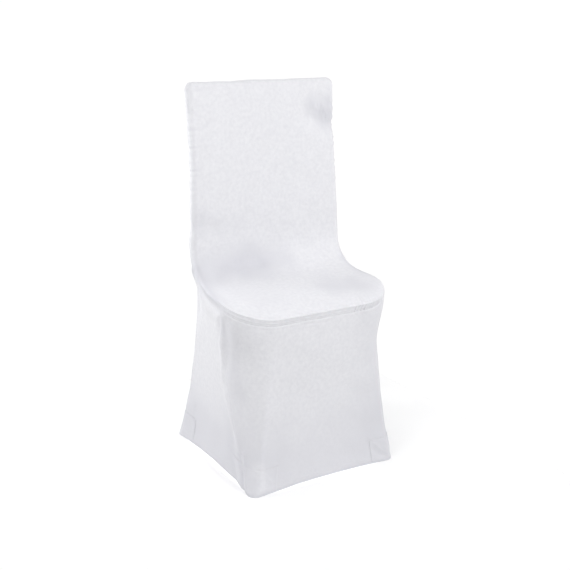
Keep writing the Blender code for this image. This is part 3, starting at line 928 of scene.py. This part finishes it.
@dataclass(frozen=True)
class StretchKnit:
    """Polyester and elastane warp knit, brushed smooth: a fine even face with a soft dull sheen."""

    name: str = "stretch_knit_polyester_elastane"
    light: str = "#E5E5E8"
    shade: str = "#D3D3D8"
    painted_shade: str = "#CCCCD2"      # painted shade: the grey mixed in by the slack attribute, for shade in hollows, dents, under the seat's rim and towards the hem
    painted_shade_share: tuple[float, float] = (0.60, 0.70)        # how much of the painted shade colour: by the clouds, and everywhere
    wale_mm: float = 1.6        # real wales are about 0.6 mm apart, drawn coarser so that a close view shows them
    knit_height_mm: float = 0.05
    crinkle_mm: float = 9.0     # the cloth's faint grain, 5 to 10 mm long
    crinkle_height_mm: float = 0.50
    cloud_mm: float = 9.0
    stitch_mm: float = 3.2
    stitch_rows_mm: tuple[float, float] = (6.0, 11.0)      # distance of each row from the hem's edge
    thread_mm: float = 0.6
    thread_height_mm: float = 0.4
    roughness: float = 0.62
    sheen: tuple[float, float] = (0.18, 0.45)              # its weight and its roughness
    specular: float = 0.32

    def make(self) -> bpy.types.Material:
        """Makes the material.

        The colour wanders a little between two whites in soft clouds, and takes painted shade from the slack
        attribute.
        The bump adds a fine crinkle, the knit's wales and courses as sines, and the hem's stitches.

        Returns:
            The material.
        """
        material = bpy.data.materials.new(self.name)
        material.use_nodes = True
        tree = material.node_tree
        shader = tree.nodes["Principled BSDF"]
        place = add_node(tree, "ShaderNodeTexCoord").outputs["Object"]
        cloth = add_node(tree, "ShaderNodeUVMap", {"uv_map": "cloth"}).outputs["UV"]
        cloud = add_node(tree, "ShaderNodeTexNoise", Vector=place, Scale=1000 / self.cloud_mm, Detail=3.0)
        # of a colour mix, sockets 6 and 7 take the two colours and output 2 gives the mixed one
        tint = add_node(tree, "ShaderNodeMix", {"data_type": "RGBA"}, Factor=cloud.outputs["Fac"])
        tint.inputs[6].default_value = linear(self.shade)
        tint.inputs[7].default_value = linear(self.light)
        # painted shade: how much of the darker grey is mixed in, read from the slack attribute
        painted_shade_amount = add_node(tree, "ShaderNodeAttribute", {"attribute_name": "painted_shade"}).outputs["Fac"]
        patch = add_node(tree, "ShaderNodeMath", {"operation": "MULTIPLY_ADD"}, i0=cloud.outputs["Fac"],
                         i1=self.painted_shade_share[0], i2=self.painted_shade_share[1])
        patch = add_node(tree, "ShaderNodeMath", {"operation": "MULTIPLY"}, i0=patch.outputs[0], i1=painted_shade_amount)
        painted_shade_colour = add_node(tree, "ShaderNodeMix", {"data_type": "RGBA", "clamp_factor": True},
                          Factor=patch.outputs[0])
        tree.links.new(tint.outputs[2], painted_shade_colour.inputs[6])
        painted_shade_colour.inputs[7].default_value = linear(self.painted_shade)
        tree.links.new(painted_shade_colour.outputs[2], shader.inputs["Base Color"])

        crinkle = add_node(tree, "ShaderNodeTexNoise", Vector=place, Scale=1000 / self.crinkle_mm, Detail=4.0,
                           Roughness=0.62, Distortion=0.6)
        bump = add_node(tree, "ShaderNodeBump", Height=crinkle.outputs["Fac"], Strength=1.0,
                        Distance=self.crinkle_height_mm / 1000)
        sized = add_node(tree, "ShaderNodeVectorMath", {"operation": "SCALE"}, Vector=cloth,
                         Scale=TURN * 1000 / self.wale_mm)
        parts = add_node(tree, "ShaderNodeSeparateXYZ", Vector=sized.outputs[0])
        wales, courses = (
            add_node(tree, "ShaderNodeMath", {"operation": "SINE"}, i0=parts.outputs[axis]).outputs[0]
            for axis in ("X", "Y"))
        knit = add_node(tree, "ShaderNodeMath", {"operation": "MULTIPLY_ADD"}, i0=courses, i1=0.5, i2=wales)
        fine = add_node(tree, "ShaderNodeBump", Height=knit.outputs[0], Strength=0.5,
                        Distance=self.knit_height_mm / 1000, Normal=bump.outputs["Normal"])
        tree.links.new(self._stitches(tree, cloth, fine.outputs["Normal"]), shader.inputs["Normal"])
        shader.inputs["Roughness"].default_value = self.roughness
        shader.inputs["Sheen Weight"].default_value = self.sheen[0]
        shader.inputs["Sheen Roughness"].default_value = self.sheen[1]
        shader.inputs["Specular IOR Level"].default_value = self.specular
        return material

    def _stitches(self, tree: bpy.types.NodeTree, cloth: bpy.types.NodeSocket,
                  normal: bpy.types.NodeSocket) -> bpy.types.NodeSocket:
        """Adds two rows of stitches along the hem: a sine along each, which fades out across the thread.

        The distance from the nearer row is the hem distance less the rows' middle, without its sign, less half
        the rows' distance, again without its sign.

        Args:
            tree: the material's nodes.
            cloth: the place on the cloth.
            normal: the bump so far.

        Returns:
            The bump with the stitches.
        """
        first, last = self.stitch_rows_mm
        row = add_node(tree, "ShaderNodeAttribute", {"attribute_name": "from_hem"}).outputs["Fac"]
        across = add_node(tree, "ShaderNodeSeparateXYZ", Vector=cloth).outputs["X"]
        for less in ((last + first) / 2000, (last - first) / 2000):
            row = add_node(tree, "ShaderNodeMath", {"operation": "SUBTRACT"}, i0=row, i1=less).outputs[0]
            row = add_node(tree, "ShaderNodeMath", {"operation": "ABSOLUTE"}, i0=row).outputs[0]
        on_row = add_node(tree, "ShaderNodeMapRange", Value=row, From_Min=0.0, From_Max=self.thread_mm / 1000,
                          To_Min=1.0, To_Max=0.0)
        wave = add_node(tree, "ShaderNodeMath", {"operation": "MULTIPLY"}, i0=across,
                        i1=TURN * 1000 / self.stitch_mm)
        wave = add_node(tree, "ShaderNodeMath", {"operation": "SINE"}, i0=wave.outputs[0])
        thread = add_node(tree, "ShaderNodeMath", {"operation": "MULTIPLY"}, i0=wave.outputs[0],
                          i1=on_row.outputs["Result"])
        return add_node(tree, "ShaderNodeBump", Height=thread.outputs[0], Strength=0.8,
                        Distance=self.thread_height_mm / 1000, Normal=normal).outputs["Normal"]


@dataclass(frozen=True)
class RimTuck:
    """The cloth drawn in under the seat's rim along both sides, so that the rim overhangs the skirt."""

    depth: float = 0.0095
    below_seam: float = 0.010       # where it is deepest
    above_reach: float = 0.021
    below_reach: float = 0.017
    rear: tuple[float, float] = (0.060, 0.092)             # where it fades out to the rear
    front: tuple[float, float] = (-0.165, -0.030)          # and to the front
    low: tuple[float, float] = (0.36, 0.42)                # and towards the floor
    inner: tuple[float, float] = (0.18, 0.20)              # and towards the cover's middle
    painted_shade_above_seam: float = 0.012                        # where the painted shade on the rim over it is darkest
    painted_shade_reach: float = 0.022
    painted_shade_top: tuple[float, float] = (0.500, 0.540)

    def fade(self, skin: Skin) -> Array:
        """Works out the product of four smooth steps, which is 1 along both sides of the seat.

        Args:
            skin: the cover's skin.

        Returns:
            A share for each point of the skin.
        """
        x, y, z = skin.points.T
        along = smooth_step(y, *self.front) * (1 - smooth_step(y, *self.rear))
        return along * smooth_step(z, *self.low) * smooth_step(np.abs(x), *self.inner)

    def heights(self, skin: Skin) -> Array:
        """Works out the depth, times exp(-(distance from the deepest line / reach)^2), faded.

        Args:
            skin: the cover's skin.

        Returns:
            One height for each point of the skin.
        """
        off = np.where(skin.on_seat, -skin.seam, skin.seam) - self.below_seam
        reach = np.where(off < 0, self.above_reach, self.below_reach)
        return -self.depth * self.fade(skin) * np.exp(-((off / reach) ** 2))

    def painted_shade(self, skin: Skin) -> Array:
        """Works out the painted shade on the rim over the tuck: exp(-(distance from the darkest line / reach)^2),
        faded.

        Args:
            skin: the cover's skin.

        Returns:
            How much painted shade each point of the skin gets.
        """
        off = np.where(skin.on_seat, skin.seam, -skin.seam) - self.painted_shade_above_seam
        fade = self.fade(skin) * (1 - smooth_step(skin.points[:, 2], *self.painted_shade_top))
        return fade * np.exp(-((off / self.painted_shade_reach) ** 2))


@dataclass(frozen=True)
class RimLines:
    """Fine tension lines in the seat's rolled rim, side by side with its seam."""

    places: tuple[float, ...] = (0.005, 0.011, 0.023)      # grooves, by their distance from the seam
    ridge: float = 0.017                                   # and a ridge between the last two
    depth: float = 0.0016
    half_width: float = 0.0022
    across: tuple[float, float] = (0.15, 0.20)             # where they fade out to the right
    along: tuple[float, float] = (-0.11, -0.06)            # and to the rear

    def heights(self, skin: Skin) -> Array:
        """Works out a rounded line at each distance from the seam, on the front left part of the seat only.

        Args:
            skin: the cover's skin.

        Returns:
            One height for each point of the skin.
        """
        x, y = skin.points[:, 0], skin.points[:, 1]
        fade = skin.on_seat * (1 - smooth_step(x, *self.across)) * (1 - smooth_step(y, *self.along))
        grooves = sum(np.exp(-(((skin.seam - place) / self.half_width) ** 2)) for place in self.places)
        return self.depth * fade * (np.exp(-(((skin.seam - self.ridge) / self.half_width) ** 2)) - grooves)


@dataclass(frozen=True)
class StretchedCloth:
    """How the cloth of this cover lies: its thickness, its seams, and the creases that the photograph shows."""

    thickness: float = 0.0010
    pocket_gap: float = 0.0003
    swell_height: float = 0.0005                           # faint unevenness all over
    swell_waves: tuple[float, float] = (0.060, 0.160)
    swell_seed: int = 5
    edges: SewnEdges = SewnEdges()
    tuck: RimTuck = RimTuck()
    rim_lines: RimLines = RimLines()
    creases: tuple[Crease, ...] = (
        # ridges and hollows that the solids have too
        Crease((-0.212, -0.155, 0.110), (-0.215, -0.082, 0.225), 0.014, 0.0034),
        Crease((0.200, -0.196, 0.030), (0.155, -0.196, 0.085), 0.020, 0.0030),
        Crease((-0.206, -0.120, 0.010), (-0.204, -0.110, 0.110), 0.020, -0.0030),
        Crease((0.060, -0.080, 0.472), (0.150, -0.110, 0.468), 0.045, -0.0035),
        Crease((-0.150, 0.074, 0.620), (-0.030, 0.070, 0.580), 0.070, -0.0016),
        Crease((0.150, 0.094, 0.890), (0.190, 0.090, 0.840), 0.035, -0.0020),
        # the left ridge goes on up to the seat, with faint pleats in front of it
        Crease((-0.216, -0.066, 0.265), (-0.220, -0.070, 0.330), 0.0110, 0.0032),
        Crease((-0.223, -0.075, 0.355), (-0.234, -0.096, 0.440), 0.0110, 0.0030),
        Crease((-0.219, -0.092, 0.300), (-0.232, -0.122, 0.430), 0.0140, -0.0026),
        Crease((-0.206, -0.150, 0.425), (-0.214, -0.165, 0.110), 0.0100, -0.0014),
        Crease((-0.176, -0.184, 0.425), (-0.206, -0.195, 0.110), 0.0100, -0.0010),
        # fold down the back's top left edge, and the pinch that ends it
        Crease((-0.208, 0.107, 0.962), (-0.209, 0.101, 0.912), 0.0050, -0.0022),
        Crease((-0.206, 0.099, 0.906), (-0.211, 0.103, 0.906), 0.0060, -0.0022),
        # slack at the back's top right corner, with its lower edge running down to the right
        Crease((0.125, 0.097, 0.882), (0.209, 0.095, 0.858), 0.0200, -0.0042),
        Crease((0.140, 0.101, 0.935), (0.205, 0.100, 0.915), 0.0120, -0.0016),
        # streak from the top edge
        Crease((0.000, 0.103, 0.955), (-0.004, 0.099, 0.905), 0.0045, -0.0009),
        # dent in the back's left edge, and the hollow where the back sweeps into the seat
        Crease((-0.216, 0.083, 0.622), (-0.165, 0.079, 0.618), 0.0190, -0.0034),
        Crease((-0.165, 0.050, 0.514), (-0.045, 0.052, 0.516), 0.0330, -0.0070),
        # hollow in the seat behind its right front
        Crease((0.050, -0.060, 0.474), (0.150, -0.082, 0.471), 0.0380, -0.0036),
        # the front of the skirt swells a little under the middle of its seam
        Crease((-0.030, -0.195, 0.330), (0.040, -0.195, 0.325), 0.055, 0.0055),
        # tension lines under the front seam
        Crease((-0.163, -0.188, 0.421), (0.020, -0.196, 0.415), 0.0035, -0.0007),
        Crease((-0.150, -0.189, 0.410), (-0.020, -0.195, 0.406), 0.0045, -0.0006),
        # edge of the cloth that is pulled round the front left foot, and the fold behind it
        Crease((-0.213, -0.172, 0.100), (-0.218, -0.190, 0.012), 0.0040, 0.0024),
        Crease((-0.214, -0.154, 0.090), (-0.217, -0.174, 0.006), 0.0080, -0.0040),
        Crease((-0.196, -0.206, 0.072), (-0.176, -0.213, 0.052), 0.0050, -0.0012),
        Crease((-0.184, -0.211, 0.062), (-0.160, -0.216, 0.030), 0.0050, 0.0012),
        # pull at the front right foot
        Crease((0.142, -0.211, 0.072), (0.183, -0.218, 0.026), 0.0060, 0.0015),
        Crease((0.150, -0.214, 0.040), (0.192, -0.218, 0.012), 0.0080, -0.0018),
    )
    crumples: tuple[Crumple, ...] = (
        Crumple((0.168, 0.098, 0.900), 0.038, 0.0011, 0.014, 11),
        Crumple((-0.190, 0.080, 0.640), 0.030, 0.0005, 0.014, 12),
        Crumple((-0.190, -0.208, 0.050), 0.022, 0.0006, 0.012, 13),
        Crumple((0.190, -0.212, 0.045), 0.022, 0.0005, 0.012, 14),
    )
    puckers: tuple[Puckers, ...] = (
        Puckers((0.2095, 0.103, 0.935), (0.2085, 0.080, 0.690), 0.018, 0.0190, 0.0021),
        Puckers((-0.2095, 0.103, 0.930), (-0.2110, 0.080, 0.690), 0.020, 0.0170, 0.0005),
        Puckers((0.085, -0.195, 0.430), (0.175, -0.190, 0.428), 0.026, 0.0092, 0.0014, -0.30, 0.0),
        Puckers((-0.233, 0.030, 0.480), (-0.233, -0.100, 0.455), 0.009, 0.0140, 0.0005, 0.4),
        Puckers((0.233, 0.030, 0.480), (0.233, -0.100, 0.455), 0.009, 0.0140, 0.0005, 0.4),
    )
    painted_shade_hem: float = 0.5                                 # painted shade along the hem's edge
    painted_shade_hem_width: tuple[float, float] = (0.002, 0.009)
    painted_shade_dents: float = 0.9                               # painted shade in the puckers' dents
    painted_shade_uneven: float = 0.008                            # how far the edges of the painted shade places wander
    painted_shade_waves: tuple[float, float] = (0.060, 0.180)
    painted_shade_seeds: tuple[int, int, int] = (21, 22, 23)
    painted_shade_places: tuple[Crease, ...] = (
        # painted shade: lines in the cloth with a reach round them, and how dark it is there
        Crease((0.150, 0.099, 0.914), (0.205, 0.097, 0.905), 0.028, 0.60),
        Crease((0.180, 0.097, 0.888), (0.205, 0.095, 0.866), 0.018, 0.55),
        Crease((0.125, 0.100, 0.930), (0.150, 0.099, 0.915), 0.014, 0.30),
        Crease((-0.210, 0.106, 0.955), (-0.210, 0.101, 0.915), 0.006, 0.5),
        Crease((-0.219, 0.084, 0.634), (-0.196, 0.080, 0.630), 0.018, 0.30),
        Crease((-0.190, 0.079, 0.626), (-0.090, 0.079, 0.618), 0.020, 0.18),
        Crease((-0.145, 0.062, 0.526), (-0.045, 0.052, 0.512), 0.032, 0.45),
        Crease((-0.210, 0.050, 0.515), (0.000, 0.050, 0.511), 0.046, 0.60),
        Crease((-0.190, 0.010, 0.488), (-0.120, -0.120, 0.474), 0.050, 0.20),
        Crease((0.095, -0.095, 0.471), (0.150, -0.115, 0.468), 0.048, 0.60),
        Crease((-0.228, -0.110, 0.420), (-0.214, -0.120, 0.250), 0.035, 0.35),
        # less painted shade over the front left foot, painted shade in the fold behind it and round the edges of
        # the rear left pocket
        Crease((-0.196, -0.206, 0.072), (-0.190, -0.212, 0.020), 0.016, -0.45),
        Crease((-0.215, -0.158, 0.070), (-0.217, -0.178, 0.006), 0.010, 0.60),
        Crease((-0.208, 0.118, 0.100), (-0.212, 0.190, 0.098), 0.006, 0.50),
        Crease((-0.208, 0.117, 0.098), (-0.210, 0.122, 0.040), 0.006, 0.50),
        # painted shade: the skirt darker towards the hem
        Crease((-0.209, 0.120, 0.050), (-0.209, -0.080, 0.060), 0.120, 0.7),
        Crease((0.209, 0.120, 0.050), (0.209, -0.080, 0.060), 0.120, 0.7),
        Crease((-0.170, -0.210, 0.060), (0.170, -0.210, 0.060), 0.130, 0.45),
        Crease((0.170, -0.195, 0.400), (0.175, -0.200, 0.150), 0.060, 0.30),
        Crease((-0.170, 0.200, 0.060), (0.170, 0.200, 0.060), 0.110, 0.3),
    )

    def heights(self, skin: Skin) -> Array:
        """Adds up how far everything moves the skin outwards.

        Args:
            skin: the cover's skin.

        Returns:
            One height for each point of the skin.
        """
        height = self.edges.heights(skin) + self.tuck.heights(skin) + self.rim_lines.heights(skin)
        height += self.swell_height * ripple_field(skin.points, *self.swell_waves, self.swell_seed)
        for mark in (*self.creases, *self.crumples):
            height += mark.heights(skin.points)
        for row in self.puckers:
            height += row.heights(skin)
        return height

    def painted_shade(self, skin: Skin) -> Array:
        """Adds up the painted shade: its listed places, the rim over the tuck, the puckers' dents, the hem.

        The places of painted shade are read at points that are shifted by three ripple fields, which makes their
        edges uneven.

        Args:
            skin: the cover's skin.

        Returns:
            One value for each point of the skin: 0 for no painted shade, 1 for the darkest.
        """
        shift = [ripple_field(skin.points, *self.painted_shade_waves, seed) for seed in self.painted_shade_seeds]
        shifted = skin.points + self.painted_shade_uneven * np.stack(shift, axis=1)
        painted_shade_amount = self.tuck.painted_shade(skin) + self.painted_shade_hem * (1 - smooth_step(skin.hem, *self.painted_shade_hem_width))
        for row in self.puckers:
            painted_shade_amount += self.painted_shade_dents * np.maximum(-row.heights(skin) / row.height, 0)
        return np.minimum(painted_shade_amount + sum(place.heights(shifted) for place in self.painted_shade_places), 1.0)


@dataclass(frozen=True)
class FlatCut:
    """The size to which a piece of cloth is cut before it is stretched."""

    width: float
    length: float
    area: float


@dataclass(frozen=True)
class SewnPanels:
    """The five sewn panels of the cover, with the flat size of each."""

    skin: Skin
    cloth: StretchedCloth
    seat_and_inside_back: FlatCut = FlatCut(0.45, 0.71, 0.290)
    outside_back: FlatCut = FlatCut(0.45, 0.93, 0.380)
    skirt_side: FlatCut = FlatCut(0.33, 0.43, 0.101)
    skirt_front: FlatCut = FlatCut(0.52, 0.42, 0.200)

    def build(self, material: bpy.types.Material) -> None:
        """The others hang from the seat and inside back.

        Args:
            material: the finish of the cloth.
        """
        flats = {
            Panel.SEAT_AND_BACK: self.seat_and_inside_back,
            Panel.OUTSIDE_BACK: self.outside_back,
            Panel.SKIRT_LEFT: self.skirt_side,
            Panel.SKIRT_RIGHT: self.skirt_side,
            Panel.SKIRT_FRONT: self.skirt_front,
        }
        for number, panel in enumerate(PANELS):
            cut = self.skin.cut(self.skin.panel == number, self.cloth.thickness)
            declare(cut, panel, material, flats[panel])


@dataclass(frozen=True)
class FootPockets:
    """The doubled pockets round the four feet, with their flat sizes and their turned edge."""

    skin: Skin
    cloth: StretchedCloth
    front: FlatCut = FlatCut(0.13, 0.07, 0.0088)
    rear: FlatCut = FlatCut(0.13, 0.08, 0.0100)
    edge_height: float = 0.0003
    edge_width: float = 0.0060
    edge_fall: float = 0.0020        # over which the border falls to the pocket's face
    edge_press: float = 0.0009       # how far the very edge is pressed down
    line_half_width: float = 0.0010  # of that edge and of the groove at the stitches
    groove_share: float = 0.9        # depth of the groove, as a share of the border's height

    def build(self, material: bpy.types.Material) -> None:
        """Each lies on two panels.

        Args:
            material: the finish of the cloth.
        """
        pockets = {
            Foot.FRONT_LEFT: (self.front, Panel.SKIRT_LEFT, Panel.SKIRT_FRONT),
            Foot.FRONT_RIGHT: (self.front, Panel.SKIRT_RIGHT, Panel.SKIRT_FRONT),
            Foot.REAR_LEFT: (self.rear, Panel.SKIRT_LEFT, Panel.OUTSIDE_BACK),
            Foot.REAR_RIGHT: (self.rear, Panel.SKIRT_RIGHT, Panel.OUTSIDE_BACK),
        }
        lift = self.cloth.pocket_gap + self.cloth.thickness
        for number, foot in enumerate(FEET, start=1):
            flat, *under = pockets[foot]
            cut = self.skin.cut(self.skin.pocket == number, self.cloth.thickness, lift)
            self._turn_edges(cut)
            declare(cut, foot, material, flat)

    def _turn_edges(self, cut: Cut) -> None:
        """Raises a turned and stitched border round a pocket.

        The border's height is even over its width, has a groove at the stitches and is pressed thin at the very
        edge, all by the distance to the pocket's nearest edge point.

        Args:
            cut: the pocket, whose outer face is changed.
        """
        border = cut.outer[np.unique(cut.border())]
        away = np.sqrt(((cut.outer[:, None] - border[None]) ** 2).sum(axis=2)).min(axis=1)
        height = self.edge_height * (1 - smooth_step(away, self.edge_width, self.edge_width + self.edge_fall))
        stitch = (away - self.edge_width + self.line_half_width) / self.line_half_width
        height -= self.edge_height * self.groove_share * np.exp(-(stitch ** 2))
        height -= self.edge_press * np.exp(-((away / self.line_half_width) ** 2))
        out = cut.outer - cut.inner
        cut.outer += out / np.linalg.norm(out, axis=1)[:, None] * height[:, None]


def piece_name(part: Panel | Foot) -> str:
    """Gives the name of the piece that stands for a solid."""
    return part.value + "_cloth"


def declare(cut: Cut, part: Panel | Foot, material: bpy.types.Material, flat: FlatCut) -> None:
    """Makes a cut piece of cloth an object and tells the frame what it is.

    Args:
        cut: the piece of cloth.
        part: the solid that it stands for.
        material: its finish.
        flat: the size to which it is cut before it is stretched.
    """
    made = cut.to_object(piece_name(part), material)
    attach(made, "root")
    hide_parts(part.value)
    triangles = sum(len(polygon.vertices) - 2 for polygon in made.data.polygons)
    LOG.info("%s: %d triangles, %.4f m2 stretched, %.4f m2 flat", made.name, triangles, cut.area(), flat.area)


@dataclass(frozen=True)
class SoftBox:
    """A large soft studio lamp."""

    name: str
    place: Point
    aim: Point
    size: tuple[float, float]
    power: float

    def hang(self) -> None:
        """Adds the lamp, turned towards its aim."""
        lamp = bpy.data.lights.new(self.name, "AREA")
        lamp.shape = "RECTANGLE"
        lamp.size, lamp.size_y = self.size
        lamp.energy = self.power
        made = bpy.data.objects.new(self.name, lamp)
        bpy.context.scene.collection.objects.link(made)
        way = Vector(self.aim) - Vector(self.place)
        made.matrix_world = Matrix.Translation(self.place) @ way.to_track_quat("-Z", "Y").to_matrix().to_4x4()


@dataclass(frozen=True)
class PhotoCamera:
    """The camera at the photograph's place, as fitted to the cover's outline."""

    azimuth: float = -31.065               # in degrees, as the next two
    pitch: float = 16.676
    roll: float = 0.434
    distance: float = 2.3205               # level distance from the cover's middle
    height: float = 1.1589
    offset: tuple[float, float] = (-0.0028, 0.0131)        # to the camera's right, and to the cover's front
    focal_share: float = 929.0 / 570.0     # focal length as a share of the picture's width
    sensor: float = 36.0

    def place(self) -> None:
        """Adds the camera and makes it the scene's own."""
        azimuth, pitch, roll = (math.radians(angle) for angle in (self.azimuth, self.pitch, self.roll))
        right = Vector((math.cos(azimuth), math.sin(azimuth), 0))
        ahead = (Vector((-math.sin(azimuth), math.cos(azimuth), 0)) * math.cos(pitch)
                 - Vector((0, 0, math.sin(pitch))))
        up = right.cross(ahead)
        place = Vector((math.sin(azimuth) * self.distance, -math.cos(azimuth) * self.distance - self.offset[1],
                        self.height)) + right * self.offset[0]
        axes = (right * math.cos(roll) + up * math.sin(roll),
                up * math.cos(roll) - right * math.sin(roll), -ahead)
        camera = bpy.data.cameras.new("photo_camera")
        camera.sensor_width = self.sensor
        camera.lens = self.focal_share * self.sensor
        made = bpy.data.objects.new("photo_camera", camera)
        made.matrix_world = Matrix.Translation(place) @ Matrix(axes).transposed().to_4x4()
        bpy.context.scene.collection.objects.link(made)
        bpy.context.scene.camera = made


@dataclass(frozen=True)
class BackdropPaper:
    """Uncoated backdrop paper: an even matt white without any shine."""

    name: str = "paper_backdrop_matt"
    white: str = "#F8F8F8"
    roughness: float = 0.9
    specular: float = 0.1

    def make(self) -> bpy.types.Material:
        """Makes the material.

        Returns:
            The material.
        """
        material = bpy.data.materials.new(self.name)
        material.use_nodes = True
        shader = material.node_tree.nodes["Principled BSDF"]
        shader.inputs["Base Color"].default_value = linear(self.white)
        shader.inputs["Roughness"].default_value = self.roughness
        shader.inputs["Specular IOR Level"].default_value = self.specular
        return material


@dataclass(frozen=True)
class Studio:
    """A plain white studio: floor, soft lamps and even surrounding light."""

    floor_size: float = 1.1
    surround: float = 0.68                                 # brightness of the light from all round
    backdrop: float = 1.02                                 # and of the lit white backdrop behind the cover
    backdrop_way: Point = (0.494, 0.820, -0.287)
    backdrop_edge: tuple[float, float] = (0.80, 0.88)      # cosines of the angle off that way, where it fades
    lamps: tuple[SoftBox, ...] = (
        SoftBox("lamp_over", (0.0, 0.3, 6.0), (0.0, 0.0, 0.0), (4.0, 4.0), 20.0),
        SoftBox("lamp_back_high", (-0.3, 1.2, 1.7), (0.0, 0.0, 0.4), (0.9, 0.9), 2.8),
        SoftBox("lamp_left_front", (-1.0, -0.6, 1.3), (0.0, 0.0, 0.6), (0.6, 0.6), 3.7),
        SoftBox("lamp_front", (0.2, -1.4, 1.1), (0.0, 0.0, 0.7), (0.5, 0.5), 5.8),
        SoftBox("lamp_right", (1.3, -0.5, 1.2), (0.0, -0.1, 0.5), (0.8, 0.8), 6.0),
        SoftBox("lamp_left_rear", (-0.75, 0.50, 0.75), (-0.2, 0.0, 0.35), (0.4, 0.4), 3.2),
        # the photograph's floor is white up to the hem, also in the gap under it
        SoftBox("lamp_under_cover", (0.0, 0.0, 0.12), (0.0, 0.0, 0.0), (0.3, 0.3), 1.0),
    )

    def build(self) -> None:
        """Adds the floor, the lamps and the surrounding light."""
        half = self.floor_size / 2
        mesh = bpy.data.meshes.new("floor")
        corners = [(-half, -half, 0), (half, -half, 0), (half, half, 0), (-half, half, 0)]
        mesh.from_pydata(corners, [], [(0, 1, 2, 3)])
        mesh.materials.append(BackdropPaper().make())
        floor = bpy.data.objects.new("floor", mesh)
        bpy.context.scene.collection.objects.link(floor)
        for lamp in self.lamps:
            lamp.hang()
        self._surround()
        bpy.context.scene.view_settings.view_transform = "Standard"

    def _surround(self) -> None:
        """Adds the light from all round, with a brighter backdrop behind the cover as the camera sees it."""
        world = bpy.data.worlds.new("studio_surround")
        world.use_nodes = True
        tree = world.node_tree
        way = add_node(tree, "ShaderNodeTexCoord").outputs["Generated"]
        off = add_node(tree, "ShaderNodeVectorMath", {"operation": "DOT_PRODUCT"}, i0=way, i1=self.backdrop_way)
        strength = add_node(tree, "ShaderNodeMapRange", Value=off.outputs["Value"],
                            From_Min=self.backdrop_edge[0], From_Max=self.backdrop_edge[1],
                            To_Min=self.surround, To_Max=self.backdrop)
        background = tree.nodes["Background"]
        background.inputs["Color"].default_value = (1.0, 1.0, 1.0, 1.0)
        tree.links.new(strength.outputs["Result"], background.inputs["Strength"])
        bpy.context.scene.world = world


def main() -> None:
    """Builds the studio and the cover."""
    logging.basicConfig(level=logging.INFO, format="%(name)s: %(message)s")
    PhotoCamera().place()
    Studio().build()
    cloth = StretchedCloth()
    skin = Skin(CoverSkin(CoverShape()).grids())
    # painted shade, worked out on the skin before it moves
    skin.painted_shade = cloth.painted_shade(skin)
    skin.move(cloth.heights(skin))
    LOG.info("skin: %d points, %d quads", len(skin.points), len(skin.quads))
    knit = StretchKnit().make()
    SewnPanels(skin, cloth).build(knit)
    FootPockets(skin, cloth).build(knit)


if __name__ == "__main__":
    main()
